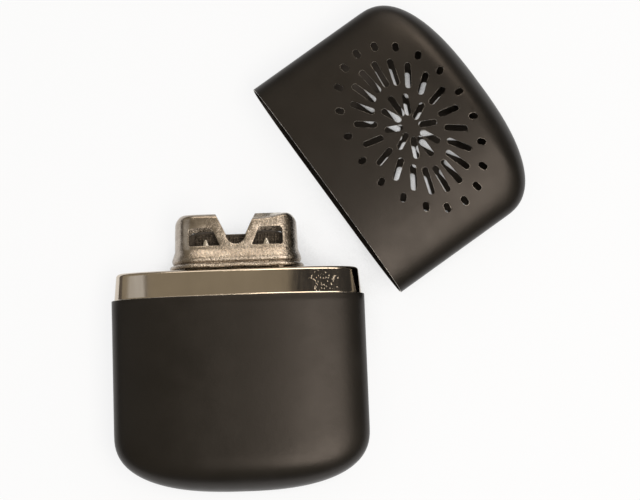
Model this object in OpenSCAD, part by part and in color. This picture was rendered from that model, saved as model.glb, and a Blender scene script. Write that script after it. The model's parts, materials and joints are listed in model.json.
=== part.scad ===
// Catalytic hand warmer: an oval fuel tank with a bright collar and a
// catalyst burner, and a pierced push-on cap laid aside beside it.
// X runs across the tank, Y from its foot towards the burner, Z out of its
// front face. The surface that everything lies on is z = 0, and the origin is
// the centre of the flat land on the tank's back.

/* [Overall] */
// Width across the tank at its widest
body_w = 67; // [60:0.5:76]
// Thickness from the flat land on the back to the crown of the front
body_t = 16; // [14:0.5:20]
// Depth by which the back's land is pressed in from the oval
land_depth = 0.4; // [0.3:0.05:0.8]
// Squareness of the oval, where 2 is an ellipse
oval_n = 2.5; // [2.2:0.1:3]

/* [Tank shell] */
// Height of the shell from its foot to the seam
tank_h = 51; // [44:0.5:60]
// Amount by which each side draws in from the widest place to the seam
tank_draw = 0.25; // [0:0.05:0.4]
// Height of the rounded foot, seen from the front
tank_end_h = 15.7; // [12:0.1:20]
// Height of the rounded foot, seen from the side
tank_side_h = 9; // [6:0.5:12]
// Sheet thickness of the shell
tank_wall = 0.5; // [0.3:0.05:0.8]

/* [Collar] */
// Height of the collar above the seam
collar_h = 7.1; // [5:0.1:8]
// Sheet thickness of the collar
collar_wall = 0.4; // [0.3:0.05:0.6]
// Play between the collar and the cap at the seam
collar_play = 0.4; // [0.3:0.05:0.6]
// Amount by which the collar draws in from the seam to its top edge
collar_draw = 0.6; // [0.6:0.05:0.9]
// Radius of the collar's top edge
collar_edge_r = 1.2; // [1:0.1:1.6]
// Length of the collar's skirt inside the shell
skirt_h = 3; // [2:0.5:6]
// Play between the collar's skirt and the shell
skirt_play = 0.05; // [0.02:0.01:0.1]

/* [Filler neck] */
// Height of the neck above the collar's deck
neck_h = 4.6; // [3.5:0.1:5]
// Length of the neck below the deck
neck_tail = 4; // [2:0.5:8]
// Sheet thickness of the neck
neck_wall = 0.4; // [0.3:0.05:0.6]
// Amount by which the bead at the neck's root stands out
neck_bead = 0.6; // [0.4:0.1:1]

/* [Filling] */
// Gap between the cotton filling and the shell
cotton_gap = 0.1; // [0.05:0.05:0.5]
// Depth of the cotton's top below the seam
cotton_drop = 4; // [3.5:0.5:10]
// Thickness of the felt pad under the burner
felt_t = 2.2; // [1.5:0.1:3]
// Gap between the felt pad and the neck
felt_gap = 0.1; // [0.05:0.05:0.3]

/* [Burner] */
// Width of the burner housing across its posts
burner_w = 32.7; // [32.5:0.1:34]
// Depth of the burner housing
burner_d = 10.6; // [10.5:0.1:12]
// Height of the burner above the deck
burner_h = 14.7; // [14.5:0.1:18]
// Sheet thickness of the housing
burner_wall = 0.5; // [0.4:0.05:0.7]
// Gap between the housing's foot and the deck
burner_lift = 0.4; // [0.3:0.05:0.8]
// Thickness of the foot flange
flange_t = 1.1; // [0.8:0.1:1.4]
// Amount by which the foot flange stands out
flange_out = 1.3; // [0.8:0.1:1.6]
// Height of the groove between the flange and the bead
groove_h = 0.3; // [0.2:0.05:0.6]
// Amount by which the bead above the flange bulges out
bead_out = 0.7; // [0.4:0.1:1]
// Height of the bulged bead
bead_h = 3.5; // [3:0.1:4]
// Thickness of the housing's foot round the neck
foot_wall = 1.5; // [1:0.1:1.8]
// Running gap between the housing's foot and the neck
neck_fit = 0.1; // [0.05:0.01:0.15]
// Gap between the seated vapour plate and the neck's mouth
plate_gap = 0.15; // [0.1:0.05:0.3]
// Width of the notch between the posts at the top
notch_w = 10.8; // [9:0.1:12]
// Width of the notch at its round foot
notch_foot_w = 5.2; // [4:0.1:6]
// Height of the notch's foot above the deck
notch_y = 6.6; // [6.5:0.1:7.5]
// Radius of the posts' outer top corners
post_r = 3; // [2:0.1:4]
// Length by which the posts' tops fold inwards
lip_in = 1.9; // [1:0.1:2.5]
// Width of each window
window_w = 8.1; // [6:0.1:8.5]
// Height of each window
window_h = 4.7; // [3:0.1:5]
// Height of the windows' sills above the deck
window_y = 6.2; // [6:0.1:6.6]
// Distance from the middle to each window's near edge
window_in = 4.2; // [4:0.1:4.4]
// Amount by which a window's near edge slants outwards to its head
window_slant = 2; // [1:0.1:3]
// Cut corner at a window's far head
window_chamfer = 1; // [0.5:0.1:2]

/* [Catalyst] */
// Depth of the catalyst pad
pad_d = 4.4; // [3:0.1:5]
// Height of the catalyst pad
pad_h = 4.4; // [3:0.1:4.4]
// Wire thickness of the net that holds the pad
wire_t = 0.25; // [0.2:0.05:0.4]
// Spacing of the wires
wire_pitch = 1.35; // [1.2:0.05:2]
// Gap between the net and what lies on each side of it
net_gap = 0.15; // [0.1:0.05:0.3]
// Gap between each end of the pad and the housing
pad_end_gap = 1; // [0.5:0.1:2]
// Number of tongues along each side
tongue_count = 4; // [2:1:4]
// Spacing of the tongues, which stands one of them in each window
tongue_pitch = 5.3; // [4.5:0.1:5.8]
// Width of a tongue at its root
tongue_w = 2.6; // [1.6:0.1:3]
// Width of a tongue at its tip
tongue_tip = 0.5; // [0.3:0.1:1]
// Height of a tongue
tongue_h = 3; // [2:0.1:3.4]
// Thickness of the tongues and of the plate
plate_t = 0.4; // [0.3:0.05:0.6]
// Diameter of the plate's vapour holes
plate_hole_d = 1.6; // [1:0.1:2]
// Number of vapour holes in each row
plate_hole_count = 9; // [5:1:10]

/* [Cap] */
// Height of the cap from its rim to its crown
cap_h = 49.5; // [46:0.5:60]
// Height of the rounded crown, seen from the front
cap_end_h = 15; // [12:0.1:18]
// Height of the rounded crown, seen from the side
cap_side_h = 8; // [6:0.5:12]
// Sheet thickness of the cap
cap_wall = 0.35; // [0.3:0.05:0.45]
// Gap between the closed cap's rim and the shell's seam
rim_gap = 0.15; // [0.1:0.05:0.3]

/* [Vents] */
// Width of a slot
slot_w = 1.7; // [1.2:0.1:2]
// Reach of the vent pattern to each side of the middle
vent_half_w = 24.6; // [20:0.1:25]
// Reach of the vent pattern above and below its middle
vent_half_h = 16; // [12:0.1:16]
// Height of the pattern's middle above the rim
vent_y = 27.2; // [26:0.1:28]
// Share of that reach at which the inner petals start
inner_from = 0.17; // [0.15:0.01:0.2]
// Share of that reach at which the inner petals end
inner_to = 0.36; // [0.3:0.01:0.4]
// Share of that reach at which the outer petals start
outer_from = 0.53; // [0.5:0.01:0.6]
// Share of that reach at which the outer petals end
outer_to = 0.78; // [0.7:0.01:0.82]
// Share of that reach at which the dots start
dots_from = 0.96; // [0.94:0.01:0.98]
// Number of petals in the inner ring
inner_petals = 10; // [6:1:11]
// Number of petals in the outer ring
outer_petals = 20; // [12:1:22]
// Number of dots round the rim of the pattern
vent_dots = 20; // [12:1:24]

/* [Cap laid aside] */
// Turn of the cap away from the tank's axis
cap_turn = 56; // [0:1:56]
// Distance of the turning axis from the middle
pole_x = 38; // [38:0.5:45]
// Distance of the turning axis below the seam
pole_drop = 9; // [0:0.5:9]

/* [Hidden] */

sides = 48;                            // points round an oval
corner_steps = 10;                     // rings over a rounded end
last_ring = 87;                        // angle of the last ring before a pole
side_n = 2.1;                          // squareness of an end seen from the side
$fn = 32;
over = 1;                              // overshoot of a cut
weld = 0.2;                            // depth by which joined forms overlap
seat_gap = 0.05;                       // gap where one piece is seated on another
seam_step = 0.15;                      // half height of the step at the seam
crown_t = (body_t + land_depth) / 2;   // half thickness of the whole oval
axis_z = body_t - crown_t;             // height of the oval's axis
seam_y = tank_h / 2;                   // the seam, from the origin
deck_y = seam_y + collar_h;            // outside of the collar's deck
mouth_w = body_w / 2 - tank_draw;      // half width at the seam and the rim
neck_w = burner_w - 2 * (foot_wall + neck_fit);  // width of the neck outside
neck_d = burner_d - 2 * (foot_wall + neck_fit);  // depth of the neck outside
neck_mouth_y = deck_y + neck_h;        // the neck's open end
foot_y = deck_y + burner_lift;         // underside of the burner's flange
bead_y = foot_y + flange_t + groove_h; // foot of the bulged bead
plate_y = neck_mouth_y + plate_gap;    // underside of the vapour plate
pad_y = plate_y + plate_t + seat_gap;  // underside of the catalyst pad
inner_w = burner_w / 2 - burner_wall;  // half width inside the housing
inner_d = burner_d / 2 - burner_wall;  // half depth inside the housing

black = [0.16, 0.15, 0.135];
bright = [0.62, 0.58, 0.53];
nickel = [0.62, 0.56, 0.5];
wool = [0.78, 0.76, 0.72];
cotton = [0.9, 0.88, 0.82];

// ---- Ovals and lofts ----

function power(v, n) = sign(v) * pow(abs(v), n);

// Fall of a rounded end: 1 at its start (u = 0), 0 at its pole (u = 1).
function round_end(u, n) = u <= 0 ? 1 : pow(max(0, 1 - pow(u, n)), 1 / n);

// One ring of an oval: half width w, half thickness t, cut flat at height land.
function oval(w, t, land, y) = [
    for (k = [0 : sides - 1])
        let (a = 360 * k / sides)
        [w * power(cos(a), 2 / oval_n), y,
         max(land, axis_z + t * power(sin(a), 2 / oval_n))]
];

// Faces of a tube of rings, closed by a flat face at each end.
module loft(rings) {
    n = len(rings[0]);
    last = len(rings) - 1;
    points = [for (ring = rings) for (p = ring) p];
    walls = [
        for (i = [0 : last - 1]) for (k = [0 : n - 1])
            let (j = (k + 1) % n)
            for (f = [
                [i * n + k, (i + 1) * n + j, (i + 1) * n + k],
                [i * n + k, i * n + j, (i + 1) * n + j]
            ]) f
    ];
    start = [for (k = [n - 1 : -1 : 0]) k];
    end = [for (k = [0 : n - 1]) last * n + k];
    polyhedron(points = points, faces = concat(walls, [start], [end]));
}

// Distances from the mouth of a rounded cup of height h to its rings.
function cup_depths(h, end_h) = concat([0], [
    for (i = [0 : corner_steps])
        h - end_h + end_h * pow(sin(last_ring * i / corner_steps), 2 / oval_n)
]);

// Ring of a cup at depth d. Its width draws in by draw towards the mouth.
function cup_ring(w, draw, t, land, h, end_h, side_h, d, y) =
    let (
        body = h - end_h,
        wide = w - draw * max(0, 1 - d / body),
        across = wide * round_end((d - body) / end_h, oval_n),
        thick = t * round_end((d - h + side_h) / side_h, side_n)
    )
    oval(across, thick, land, y);

// Skin of a cup of half width w, inset by s, from its mouth in the direction
// way. It runs from the pole to the mouth if inwards, or back again if not.
function cup_skin(w, h, draw, end_h, side_h, s, mouth_y, way, inwards) =
    let (
        depths = cup_depths(h - s, end_h - s),
        n = len(depths) - 1
    )
    [
        for (i = [0 : n])
            let (d = depths[inwards ? n - i : i])
            cup_ring(w - s, draw, crown_t - s, s, h - s, end_h - s, side_h - s,
                d, mouth_y + way * d)
    ];

function tank_skin(s, inwards) =
    cup_skin(body_w / 2, tank_h, tank_draw, tank_end_h, tank_side_h, s,
        seam_y, -1, inwards);

function cap_skin(s, inwards) =
    cup_skin(mouth_w, cap_h, 0, cap_end_h, cap_side_h, s,
        seam_y + rim_gap, 1, inwards);

// ---- Tank ----

module tank_shell() {
    color(black)
        loft(concat(tank_skin(0, true), tank_skin(tank_wall, false)));
}

// Ring of the collar, inset by s from the cap's inner face.
function collar_ring(s, y) = mouth_ring(cap_wall + s, y);

// Ring of the skirt, inset by s from its place inside the shell.
function skirt_ring(s, y) = mouth_ring(tank_wall + skirt_play + s, y);

// Ring inset by s from the outside of the shell's and the cap's mouths.
function mouth_ring(s, y) = oval(mouth_w - s, crown_t - s, s, y);

// Solid of the collar, drawn in by s all over.
module collar_form(s) {
    edge_r = collar_edge_r - s;
    edge_y = deck_y - s - edge_r;
    tuck = collar_play + collar_draw + s;
    loft(concat(
        [
            skirt_ring(s, seam_y - skirt_h - (s > 0 ? over : 0)),
            skirt_ring(s, seam_y - seam_step),
            collar_ring(collar_play + s, seam_y + seam_step),
            collar_ring(tuck, edge_y)
        ],
        [
            for (a = [22.5, 45, 67.5, 90])
                collar_ring(tuck + edge_r * (1 - cos(a)), edge_y + edge_r * sin(a))
        ]));
}

module collar() {
    color(bright)
        difference() {
            collar_form(0);
            collar_form(collar_wall);
            along_axis(deck_y - collar_wall - over)
                oblong(neck_w + 2 * felt_gap, neck_d + 2 * felt_gap,
                    collar_wall + 2 * over);
        }
}

// Stands a shape that is drawn upright on the tank's axis, from height y.
module along_axis(y)
    translate([0, y, axis_z]) rotate([-90, 0, 0]) children();

// Upright oblong with round ends.
module oblong(w, d, h)
    linear_extrude(h) oblong_outline(w, d);

module oblong_outline(w, d) {
    square([w - d, d], center = true);
    for (side = [-1, 1])
        translate([side * (w - d) / 2, 0]) circle(d = d);
}

module filler_neck() {
    bead_t = burner_lift - seat_gap;
    color(bright)
        difference() {
            union() {
                along_axis(deck_y - collar_wall - neck_tail)
                    oblong(neck_w, neck_d, neck_tail + collar_wall + neck_h);
                along_axis(deck_y)
                    oblong(neck_w + 2 * neck_bead, neck_d + 2 * neck_bead, bead_t);
            }
            along_axis(deck_y - collar_wall - neck_tail - over)
                oblong(neck_w - 2 * neck_wall, neck_d - 2 * neck_wall,
                    neck_tail + collar_wall + neck_h + 2 * over);
        }
}

module cotton_filling() {
    color(cotton)
        intersection() {
            loft(tank_skin(tank_wall + cotton_gap, true));
            translate([-body_w, seam_y - cotton_drop - 2 * tank_h, -body_t])
                cube([2 * body_w, 2 * tank_h, 3 * body_t]);
        }
}

module felt_pad() {
    w = neck_w - 2 * neck_wall - 2 * felt_gap;
    d = neck_d - 2 * neck_wall - 2 * felt_gap;
    color(wool)
        along_axis(deck_y - collar_wall - neck_tail)
            oblong(w, d, felt_t);
}

// ---- Burner ----

// Outline of the housing's walls above the bead, seen from the front.
module post_outline() {
    top = deck_y + burner_h;
    w = burner_w / 2;
    foot_r = notch_foot_w / 2;
    notch_foot_y = deck_y + notch_y + foot_r;
    for (side = [0, 1])
        mirror([side, 0]) {
            translate([w - post_r, top - post_r]) circle(r = post_r);
            polygon([
                [foot_r, bead_y],
                [w, bead_y],
                [w, top - post_r],
                [w - post_r, top],
                [notch_w / 2, top],
                [foot_r, notch_foot_y]
            ]);
        }
    difference() {
        translate([-foot_r - weld, bead_y])
            square([notch_foot_w + 2 * weld, notch_foot_y - bead_y]);
        translate([0, notch_foot_y]) circle(r = foot_r);
    }
}

module window_outline() {
    sill = deck_y + window_y;
    head = sill + window_h;
    far = window_in + window_w;
    for (side = [0, 1])
        mirror([side, 0])
            polygon([
                [window_in, sill],
                [far, sill],
                [far, head - window_chamfer],
                [far - window_chamfer, head],
                [window_in + window_slant, head]
            ]);
}

// Walls of the housing, from the bead up, with both windows cut through.
module burner_walls() {
    h = deck_y + burner_h - bead_y;
    difference() {
        intersection() {
            along_axis(bead_y) oblong(burner_w, burner_d, h);
            linear_extrude(body_t) post_outline();
        }
        along_axis(bead_y - over)
            oblong(2 * inner_w, 2 * inner_d, h - burner_wall + over);
        along_axis(bead_y)
            oblong(burner_w - 2 * (lip_in + post_r), burner_d - 2 * lip_in, h + over);
        translate([0, 0, -over])
            linear_extrude(body_t + 2 * over) window_outline();
    }
}

// Sweeps a flat outline round an oblong: x stands out from it, y is upright.
module oblong_band(w, d) {
    run = w - d;
    for (turn = [0, 180])
        rotate([0, 0, turn]) {
            translate([run / 2, 0])
                rotate([0, 0, -90])
                    rotate_extrude(angle = 180) translate([d / 2, 0]) children();
            translate([-run / 2, 0])
                rotate([90, 0, 90])
                    linear_extrude(run) translate([d / 2, 0]) children();
        }
}

// Bulged bead and foot flange round the housing's foot, over the neck's socket.
module burner_foot() {
    bulge_r = (pow(bead_h / 2, 2) + pow(bead_out, 2)) / (2 * bead_out);
    difference() {
        union() {
            along_axis(foot_y)
                oblong(burner_w, burner_d, bead_y + bead_h - foot_y);
            along_axis(foot_y)
                oblong_band(burner_w, burner_d) {
                    translate([-weld, 0])
                        square([flange_out + weld - flange_t / 2, flange_t]);
                    translate([flange_out - flange_t / 2, flange_t / 2])
                        circle(d = flange_t);
                }
            along_axis(bead_y)
                oblong_band(burner_w, burner_d)
                    intersection() {
                        translate([bead_out - bulge_r, bead_h / 2])
                            circle(r = bulge_r, $fn = 64);
                        translate([-weld, 0]) square([bead_out + weld, bead_h]);
                    }
        }
        along_axis(foot_y - over)
            oblong(neck_w + 2 * neck_fit, neck_d + 2 * neck_fit,
                plate_y - foot_y + over);
        along_axis(plate_y - seat_gap)
            oblong(2 * inner_w, 2 * inner_d, burner_h);
    }
}

module burner_housing() {
    color(nickel) {
        burner_foot();
        burner_walls();
    }
}

module vapour_plate() {
    w = 2 * (inner_w - seat_gap);
    d = 2 * (inner_d - seat_gap);
    pitch = (w - d) / (plate_hole_count - 1);
    color(nickel)
        difference() {
            along_axis(plate_y) oblong(w, d, plate_t);
            for (row = [-1, 1], k = [0 : plate_hole_count - 1])
                along_axis(plate_y - over)
                    translate([(k - (plate_hole_count - 1) / 2) * pitch, row * d / 5])
                        cylinder(d = plate_hole_d, h = plate_t + 2 * over);
        }
}

module catalyst_pad() {
    color(wool)
        along_axis(pad_y)
            oblong(2 * (inner_w - pad_end_gap), pad_d, pad_h);
}

// Net of wires in a plane beside the pad, on the side that way names.
module pad_net(way) {
    columns = floor(2 * (inner_w - inner_d) / wire_pitch);
    rows = floor((pad_h - wire_t) / wire_pitch);
    w = columns * wire_pitch + wire_t;
    h = rows * wire_pitch + wire_t;
    z = axis_z + way * (pad_d / 2 + net_gap + wire_t / 2) - wire_t / 2;
    color(nickel)
        translate([-w / 2, pad_y, z]) {
            for (k = [0 : columns])
                translate([k * wire_pitch, 0]) cube([wire_t, h, wire_t]);
            for (k = [0 : rows])
                translate([0, k * wire_pitch]) cube([w, wire_t, wire_t]);
        }
}

module front_net() pad_net(1);

module rear_net() pad_net(-1);

// Pointed tongues that stand up from the plate and keep the nets in place.
module pad_tongues() {
    from_axis = pad_d / 2 + 2 * net_gap + wire_t;
    color(nickel)
        for (side = [0, 1], k = [0 : tongue_count - 1])
            translate([(k - (tongue_count - 1) / 2) * tongue_pitch, plate_y + plate_t, axis_z])
                mirror([0, 0, side])
                    translate([0, 0, from_axis])
                        linear_extrude(plate_t)
                            polygon([
                                [-tongue_w / 2, 0],
                                [tongue_w / 2, 0],
                                [tongue_tip / 2, tongue_h],
                                [-tongue_tip / 2, tongue_h]
                            ]);
}

// ---- Cap ----

// Moves the closed cap to where it lies beside the tank.
module laid_aside()
    translate([pole_x, seam_y - pole_drop, 0])
        rotate([0, 0, -cap_turn])
            translate([-pole_x, pole_drop - seam_y, 0])
                children();

// Point of the pattern at angle a, at share s of its reach.
function vent_at(a, s) = [vent_half_w * s * cos(a), vent_half_h * s * sin(a)];

// Slot with round ends between two points.
module slot(from, to) {
    run = to - from;
    translate(from)
        rotate(atan2(run.y, run.x)) {
            translate([0, -slot_w / 2]) square([norm(run), slot_w]);
            circle(d = slot_w, $fn = 16);
            translate([norm(run), 0]) circle(d = slot_w, $fn = 16);
        }
}

// Sunburst of slots in two rings, with a ring of dots round them.
module vent_pattern() {
    for (k = [0 : inner_petals - 1])
        let (a = 360 * k / inner_petals)
        slot(vent_at(a, inner_from), vent_at(a, inner_to));
    for (k = [0 : outer_petals - 1])
        let (a = 360 * (k + 0.5) / outer_petals)
        slot(vent_at(a, outer_from), vent_at(a, outer_to));
    for (k = [0 : vent_dots - 1])
        let (a = 360 * k / vent_dots)
        slot(vent_at(a, dots_from), vent_at(a, 1));
}

module cap_shell() {
    color(black)
        laid_aside()
            difference() {
                loft(concat(cap_skin(cap_wall, true), cap_skin(0, false)));
                translate([0, seam_y + rim_gap + vent_y, -over])
                    linear_extrude(body_t + 2 * over) vent_pattern();
            }
}

tank_shell();
collar();
filler_neck();
cotton_filling();
felt_pad();
burner_housing();
vapour_plate();
catalyst_pad();
front_net();
rear_net();
pad_tongues();
cap_shell();
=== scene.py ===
# %% [markdown]
# # A catalytic hand warmer, opened
# The object is a flat oval tank of black coated steel. A bright collar stands out of its mouth,
# and a stamped burner sits on the collar. The pierced cap has been pulled off and lies beside it.
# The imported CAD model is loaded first, as a fixed frame: it says where everything is and how it
# moves. Each step then models one piece as the real sheet metal is formed, and gives it a finish.

import json
from contextlib import contextmanager
from itertools import pairwise
from math import atan2, cos, pi, radians, sin

import bmesh
import bpy
from mathutils import Matrix, Vector

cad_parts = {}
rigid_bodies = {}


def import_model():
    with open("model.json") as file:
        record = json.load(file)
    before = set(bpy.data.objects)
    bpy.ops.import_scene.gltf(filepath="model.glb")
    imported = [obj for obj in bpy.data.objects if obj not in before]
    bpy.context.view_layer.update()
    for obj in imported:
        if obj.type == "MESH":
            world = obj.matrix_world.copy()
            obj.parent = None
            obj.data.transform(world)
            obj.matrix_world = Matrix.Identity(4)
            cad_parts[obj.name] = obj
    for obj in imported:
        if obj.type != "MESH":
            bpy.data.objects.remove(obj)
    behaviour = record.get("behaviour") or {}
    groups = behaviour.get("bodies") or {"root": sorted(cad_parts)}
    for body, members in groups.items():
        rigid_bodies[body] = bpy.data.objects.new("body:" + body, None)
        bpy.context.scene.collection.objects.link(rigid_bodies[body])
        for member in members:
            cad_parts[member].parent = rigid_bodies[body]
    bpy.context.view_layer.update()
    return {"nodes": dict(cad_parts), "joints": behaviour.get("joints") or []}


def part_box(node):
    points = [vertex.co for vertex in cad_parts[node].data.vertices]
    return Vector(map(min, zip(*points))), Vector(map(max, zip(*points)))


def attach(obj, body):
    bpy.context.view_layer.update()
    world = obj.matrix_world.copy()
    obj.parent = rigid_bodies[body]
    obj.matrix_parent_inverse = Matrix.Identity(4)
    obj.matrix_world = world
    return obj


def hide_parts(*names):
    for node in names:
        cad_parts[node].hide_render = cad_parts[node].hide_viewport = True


bpy.ops.object.select_all(action="SELECT")
bpy.ops.object.delete()
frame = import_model()

# %% [markdown]
# ## Measures
# Places are read from the boxes of the CAD nodes, so that a piece sits where the frame says. Only
# what a box can't tell, such as a sheet's thickness or the shape of an oval, is written down here.
# Places that differ by less than SAME count as one.

# %% Places from the frame
MM = 0.001
SAME = 0.0001 * MM
tank_low, tank_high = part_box("tank_shell")
collar_low, collar_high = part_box("collar")
neck_low, neck_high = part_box("filler_neck")
burner_low, burner_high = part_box("burner_housing")
plate_low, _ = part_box("vapour_plate")
pad_low, pad_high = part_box("catalyst_pad")
net_low, net_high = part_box("front_net")
felt_low, felt_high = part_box("felt_pad")
_, cotton_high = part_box("cotton_filling")
HALF_W = tank_high.x
BODY_T = tank_high.z
FOOT_Y = tank_low.y
SEAM_Y = tank_high.y
DECK_Y = collar_high.y
AXIS_Z = (burner_low.z + burner_high.z) / 2
print(f"tank {2000 * HALF_W:.1f} by {1000 * BODY_T:.1f} mm, seam at y = {1000 * SEAM_Y:.1f} mm")

# %% Sizes of the oval body
OVAL_N = 2.5
LAND_DEPTH = 0.4 * MM
CROWN_T = (BODY_T + LAND_DEPTH) / 2
TANK_DRAW = 0.25 * MM
MOUTH_W = HALF_W - TANK_DRAW
TANK_WALL = 0.5 * MM
TANK_END_H = 15.7 * MM
TANK_SIDE_H = 9 * MM
SIDE_N = 2.1
OVAL_POINTS = 160
print(f"the axis lies {1000 * AXIS_Z:.2f} mm above the surface")

# %% [markdown]
# ## Camera
# The photo looks almost straight down on the lying object, from 7 or 8 degrees towards its foot.
# The seam bows a little and the sides stay parallel, so the lens is a long one from a good way off.
# The camera is turned with a track quaternion and a small roll, and aimed between tank and cap.

# %% Camera
ELEVATION = radians(82.5)
ROLL = radians(1.9)
AIM = Vector((22.0 * MM, 37.4 * MM, 8 * MM))
DISTANCE = 1.0
LENS = 213.6
back = Vector((0, -cos(ELEVATION), sin(ELEVATION)))
bpy.ops.object.camera_add(location=AIM + DISTANCE * back)
camera = bpy.context.object
camera.rotation_mode = "QUATERNION"
roll = Matrix.Rotation(-ROLL, 3, "Z").to_quaternion()
camera.rotation_quaternion = (-back).to_track_quat("-Z", "Y") @ roll
camera.data.lens = LENS
camera.data.sensor_width = 36
camera.data.clip_start = 0.01
camera.data.clip_end = 20
bpy.context.scene.camera = camera
print("camera", [round(v, 3) for v in camera.location])

# %% [markdown]
# ## Working by hand, in code
# Operators act on whatever is selected. These helpers keep that in order: one selects a single
# object, one opens it for editing, and one picks points, edges or faces by a test on their place.

# %% Selecting and editing
def only(piece):
    """Makes piece the one selected and active object."""
    bpy.ops.object.select_all(action="DESELECT")
    piece.select_set(True)
    bpy.context.view_layer.objects.active = piece
    return piece


@contextmanager
def editing(piece):
    """Opens piece in edit mode, and closes it again."""
    only(piece)
    bpy.ops.object.mode_set(mode="EDIT")
    yield piece
    bpy.ops.object.mode_set(mode="OBJECT")


def pick(piece, kind, test):
    """In edit mode, selects the points, edges or faces of piece that pass the test."""
    bpy.ops.mesh.select_mode(type=kind)
    mesh = bmesh.from_edit_mesh(piece.data)
    parts = {"VERT": mesh.verts, "EDGE": mesh.edges, "FACE": mesh.faces}[kind]
    bpy.ops.mesh.select_all(action="DESELECT")
    found = [part for part in parts if test(part)]
    for part in found:
        part.select_set(True)
    bmesh.update_edit_mesh(piece.data)
    return len(found)


def settle(piece):
    """Puts the place, turn and scale of piece into its mesh, so that its object is at the origin."""
    only(piece)
    bpy.ops.object.transform_apply(location=True, rotation=True, scale=True)
    return piece


EDGE_ANGLE = radians(50)
MERGE_GAP = 0.004 * MM
FINE_GAP = 0.001 * MM


def close_up(piece, gap=MERGE_GAP):
    """Merges points that lie on each other and turns all faces outwards."""
    with editing(piece):
        bpy.ops.mesh.select_all(action="SELECT")
        bpy.ops.mesh.remove_doubles(threshold=gap)
        bpy.ops.mesh.normals_make_consistent(inside=False)
    return piece


def apply_modifier(piece, name, kind, **settings):
    """Adds a modifier with these settings and applies it at once."""
    only(piece)
    modifier = piece.modifiers.new(name, kind)
    for key, value in settings.items():
        setattr(modifier, key, value)
    bpy.ops.object.modifier_apply(modifier=modifier.name)
    return piece


def give_wall(piece, thickness):
    """Gives a skin the sheet's thickness, on its inside, so that the outside stays in place."""
    return apply_modifier(
        piece, "sheet", "SOLIDIFY", thickness=thickness, offset=-1, use_even_offset=True
    )


def round_edges(piece, width):
    """Rounds the cut edges, which are the ones sharper than EDGE_ANGLE."""
    return apply_modifier(
        piece, "edge", "BEVEL", width=width, segments=2, limit_method="ANGLE", angle_limit=EDGE_ANGLE
    )


def smooth(piece, angle=34):
    """Shades piece smooth, except across edges sharper than the angle in degrees."""
    only(piece)
    bpy.ops.object.shade_smooth_by_angle(angle=radians(angle))
    return piece


def dress(piece, body, finish, node):
    """Gives piece its finish and its body, and hides the CAD node that it stands for."""
    piece.data.materials.clear()
    piece.data.materials.append(finish)
    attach(piece, body)
    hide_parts(node)
    print(f"{piece.name}: {len(piece.data.polygons)} faces")
    return piece


def touch_up(piece, finish, test):
    """Gives the faces that pass the test another finish, such as bare metal on a cut edge."""
    piece.data.materials.append(finish)
    piece.active_material_index = len(piece.data.materials) - 1
    with editing(piece):
        found = pick(piece, "FACE", test)
        bpy.ops.object.material_slot_assign()
    print(f"{piece.name}: {found} faces in {finish.name}")
    return piece


def copy_of(piece, name):
    """A copy of piece that has a mesh of its own."""
    made = piece.copy()
    made.data = piece.data.copy()
    made.name = made.data.name = name
    bpy.context.collection.objects.link(made)
    return made


# %% [markdown]
# ## Drawing an oval cup
# The tank and the cap are deep-drawn: a flat sheet is pressed into a deep cup with a rounded
# bottom. By hand, this is a ring that is extruded again and again, and scaled at each step. The
# ring is squarer than an ellipse. No operator draws such an oval, so the points of a circle are
# pushed outwards onto it by a formula, once, and every later ring is only a scaling of the first.

# %% An oval ring, and rings drawn out of it
def oval_ring(name, y, half_w, half_t):
    """A ring of edges on the oval round the tank's axis, at height y."""
    bpy.ops.mesh.primitive_circle_add(vertices=OVAL_POINTS, radius=1, rotation=(pi / 2, 0, 0))
    ring = bpy.context.object
    ring.name = ring.data.name = name
    settle(ring)
    for point in ring.data.vertices:
        x, _, z = point.co
        reach = (abs(x) ** OVAL_N + abs(z) ** OVAL_N) ** (-1 / OVAL_N)
        point.co = (half_w * reach * x, y, AXIS_Z + half_t * reach * z)
    return ring


def draw_out(rings, extrude=bpy.ops.mesh.extrude_edges_move):
    """In edit mode, extrudes what is selected from ring to ring. A ring is (y, half_w, half_t)."""
    for (y, w, t), (next_y, next_w, next_t) in pairwise(rings):
        extrude(TRANSFORM_OT_translate={"value": (0, next_y - y, 0)})
        bpy.ops.transform.resize(
            value=(next_w / w, 1, next_t / t), center_override=(0, next_y, AXIS_Z)
        )


def round_end(u, n):
    """Fall of a rounded end: 1 where it starts, at u = 0, and 0 at its pole, at u = 1."""
    return 1 if u <= 0 else max(0, 1 - u**n) ** (1 / n)


# %% A cup of such rings
END_RINGS = 26
SIDE_RINGS = 16
LAST_RING = radians(88.5)


def cup_rings(mouth_y, way, half_w, draw, height, end_h, side_h, inset=0):
    """Rings of a drawn cup from its mouth to its pole, as (y, half_w, half_t)."""
    straight = height - end_h
    depths = [straight * k / SIDE_RINGS for k in range(SIDE_RINGS)]
    depths += [
        straight + (end_h - inset) * sin(LAST_RING * k / END_RINGS) ** (2 / OVAL_N)
        for k in range(END_RINGS + 1)
    ]
    rings = []
    for d in depths:
        wide = half_w - inset - draw * max(0, 1 - d / straight)
        across = wide * round_end((d - straight) / (end_h - inset), OVAL_N)
        side = round_end((d - height + side_h) / (side_h - inset), SIDE_N)
        rings.append((mouth_y + way * d, across, (CROWN_T - inset) * side))
    return rings


def drawn_cup(name, rings):
    """The outer skin of a cup: a ring at its mouth, drawn out to its pole and closed there."""
    cup = oval_ring(name, *rings[0])
    with editing(cup):
        bpy.ops.mesh.select_all(action="SELECT")
        draw_out(rings)
        bpy.ops.mesh.edge_face_add()
        bpy.ops.mesh.poke()
    return cup


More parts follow.
